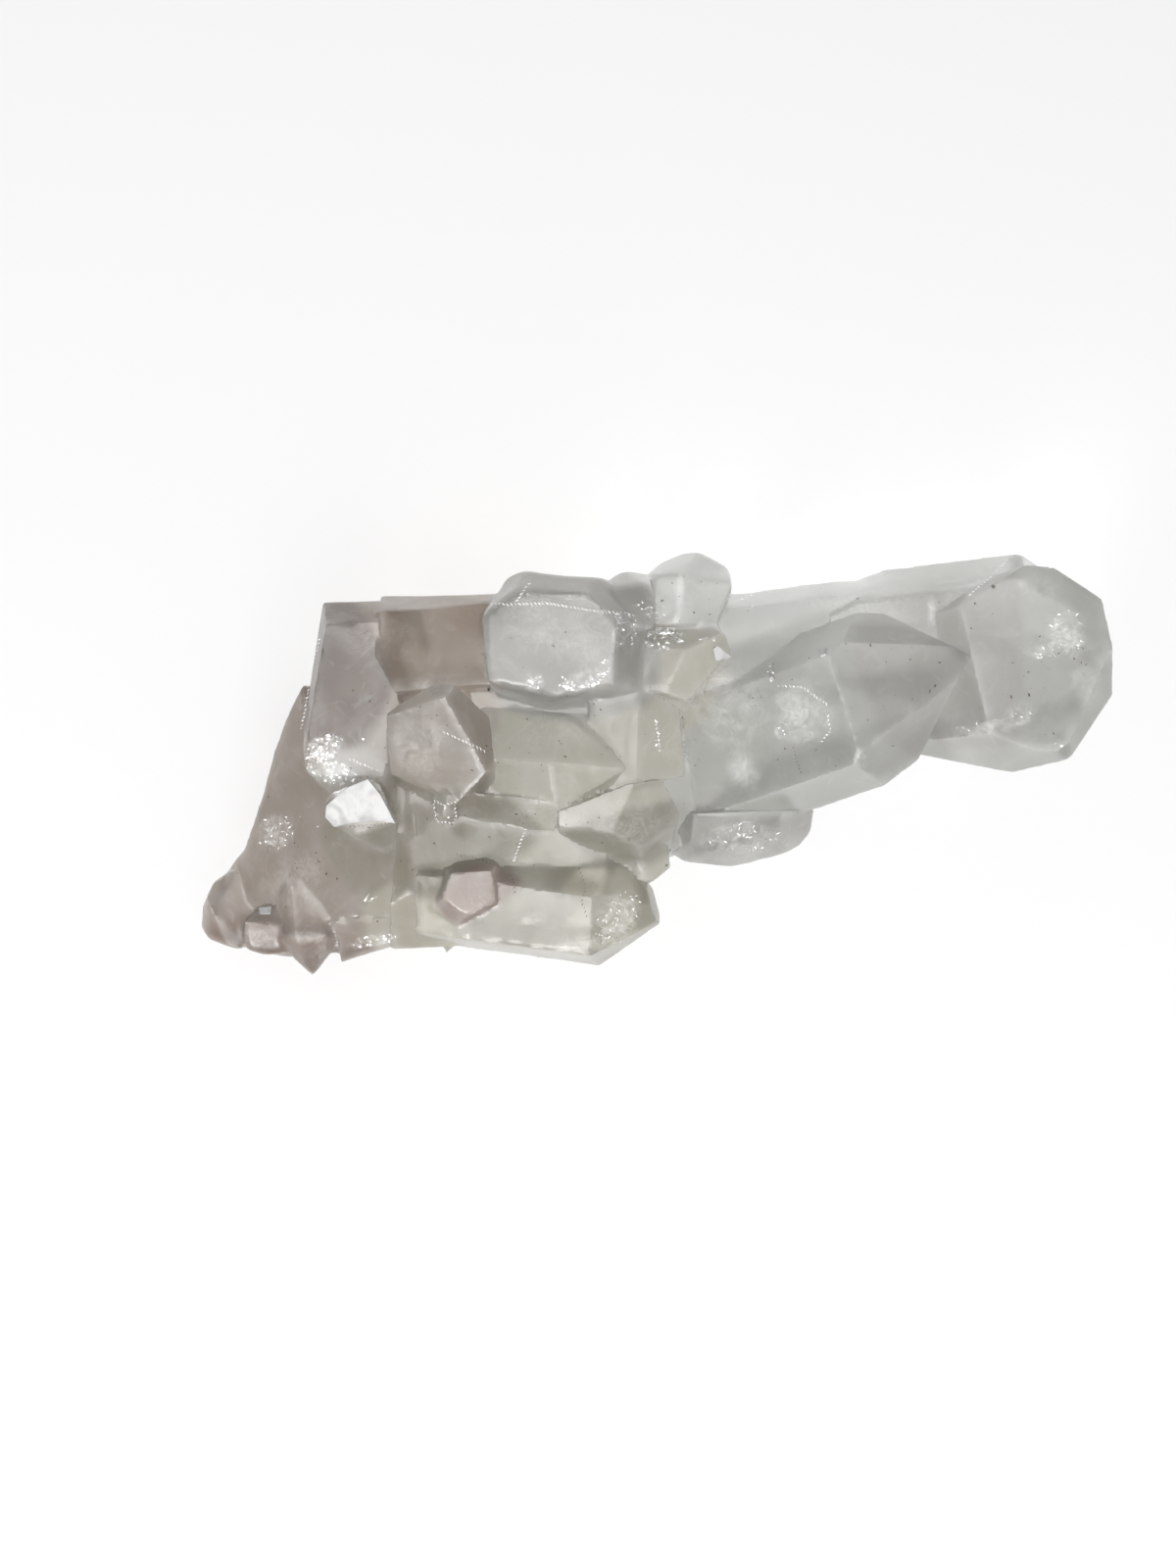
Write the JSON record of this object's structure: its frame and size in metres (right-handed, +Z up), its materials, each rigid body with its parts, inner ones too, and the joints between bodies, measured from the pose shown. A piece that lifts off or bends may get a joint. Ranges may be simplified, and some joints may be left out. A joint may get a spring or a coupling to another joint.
{
  "type": "quartz crystal cluster",
  "caption": "Clear to milky quartz cluster of intergrown pointed crystals, lying on a flat cut base with two big blunt points at one end.",
  "frame": {"origin": "middle of the cluster's box, on the surface it rests on", "axes": "+X along the cluster towards its two big points, +Y across it, +Z up from the cut"},
  "size_m": [0.1254, 0.059, 0.038],
  "materials": {
    "quartz": "clear to milky natural quartz, satin crystal faces with glossy breaks"
  },
  "bodies": {
    "root": {"quartz_cluster": "quartz"}
  },
  "joints": []
}
